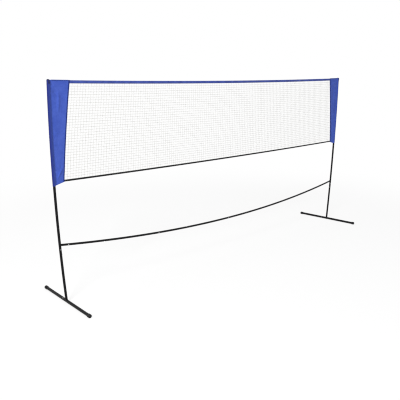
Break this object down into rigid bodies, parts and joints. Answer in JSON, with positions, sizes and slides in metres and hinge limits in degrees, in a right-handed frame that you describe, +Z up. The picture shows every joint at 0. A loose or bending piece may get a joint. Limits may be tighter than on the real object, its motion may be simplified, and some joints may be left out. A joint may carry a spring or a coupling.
{
  "type": "portable court net on posts",
  "caption": "Low court net between fabric pole sleeves on two springy posts with T feet, braced by a bowed plug-in crossbar.",
  "frame": {"origin": "on the floor midway between the posts, under the middle of the object's box", "axes": "+X along the net to the right, +Y to the back, +Z up"},
  "size_m": [3.4396, 0.6676, 1.55],
  "materials": {
    "tube_paint": "satin black powder coat on thin steel tube",
    "inner_tube_steel": "zinc plated, dull",
    "cap_plastic": "moulded, fine matt grain",
    "bright_steel": "bright nickel plate",
    "sleeve_fabric": "plain woven polyester, soft sheen",
    "loop_webbing": "woven polypropylene webbing",
    "top_tape_fabric": "folded woven tape",
    "bottom_tape_fabric": "woven tape",
    "net_cord": "twisted white cord"
  },
  "bodies": {
    "frame": {"left_foot_front_tube": "tube_paint", "left_foot_inner_tube": "inner_tube_steel", "left_foot_front_cap": "cap_plastic", "left_post_lower": "tube_paint", "left_post_inner_tube": "inner_tube_steel", "left_post_upper": "tube_paint", "left_post_cap": "cap_plastic", "left_bar_socket": "tube_paint", "left_bar_inner_tube": "inner_tube_steel", "left_sleeve": "sleeve_fabric", "left_top_loop": "loop_webbing", "right_foot_front_tube": "tube_paint", "right_foot_inner_tube": "inner_tube_steel", "right_foot_front_cap": "cap_plastic", "right_post_lower": "tube_paint", "right_post_inner_tube": "inner_tube_steel", "right_post_upper": "tube_paint", "right_post_cap": "cap_plastic", "right_bar_socket": "tube_paint", "right_bar_inner_tube": "inner_tube_steel", "right_sleeve": "sleeve_fabric", "right_top_loop": "loop_webbing", "bar_tube_1": "tube_paint", "bar_tube_2": "tube_paint", "bar_tube_3": "tube_paint", "bar_tube_4": "tube_paint", "bar_inner_tube_1": "inner_tube_steel", "bar_inner_tube_2": "inner_tube_steel", "bar_inner_tube_3": "inner_tube_steel", "button_springs": "bright_steel", "rivets": "bright_steel", "top_tape": "top_tape_fabric", "bottom_tape": "bottom_tape_fabric", "net_mesh": "net_cord"},
    "left_foot_rear": {"left_foot_rear_tube": "tube_paint", "left_foot_rear_cap": "cap_plastic"},
    "right_foot_rear": {"right_foot_rear_tube": "tube_paint", "right_foot_rear_cap": "cap_plastic"},
    "left_post_button": {"left_post_button": "bright_steel"},
    "right_post_button": {"right_post_button": "bright_steel"},
    "bar_button_1": {"bar_button_1": "bright_steel"},
    "bar_button_2": {"bar_button_2": "bright_steel"},
    "bar_button_3": {"bar_button_3": "bright_steel"},
    "bar_button_4": {"bar_button_4": "bright_steel"},
    "bar_button_5": {"bar_button_5": "bright_steel"}
  },
  "joints": [
    {"name": "left_foot_pull", "type": "slide", "parent": "frame", "child": "left_foot_rear", "axis": [0.0628, 0.998, 0], "range_m": [0, 0.055]},
    {"name": "right_foot_pull", "type": "slide", "parent": "frame", "child": "right_foot_rear", "axis": [-0.0628, 0.998, 0], "range_m": [0, 0.055]},
    {"name": "left_post_press", "type": "slide", "parent": "frame", "child": "left_post_button", "axis": [-0.998, 0, -0.0626], "range_m": [0, 0.0045], "stiffness_N_per_m": 1200, "springref_m": -0.003},
    {"name": "right_post_press", "type": "slide", "parent": "frame", "child": "right_post_button", "axis": [0.998, 0, -0.0626], "range_m": [0, 0.0045], "stiffness_N_per_m": 1200, "springref_m": -0.003},
    {"name": "bar_press_1", "type": "slide", "parent": "frame", "child": "bar_button_1", "axis": [0.0962, 0.5531, 0.8276], "range_m": [0, 0.0045], "stiffness_N_per_m": 1200, "springref_m": -0.003},
    {"name": "bar_press_2", "type": "slide", "parent": "frame", "child": "bar_button_2", "axis": [-0.0349, 0.2815, -0.9589], "range_m": [0, 0.0045], "stiffness_N_per_m": 1200, "springref_m": -0.003},
    {"name": "bar_press_3", "type": "slide", "parent": "frame", "child": "bar_button_3", "axis": [-0.0038, -0.916, 0.4012], "range_m": [0, 0.0045], "stiffness_N_per_m": 1200, "springref_m": -0.003},
    {"name": "bar_press_4", "type": "slide", "parent": "frame", "child": "bar_button_4", "axis": [0.0146, -0.9978, 0.0644], "range_m": [0, 0.0045], "stiffness_N_per_m": 1200, "springref_m": -0.003},
    {"name": "bar_press_5", "type": "slide", "parent": "frame", "child": "bar_button_5", "axis": [-0.0962, 0.5531, 0.8276], "range_m": [0, 0.0045], "stiffness_N_per_m": 1200, "springref_m": -0.003}
  ]
}
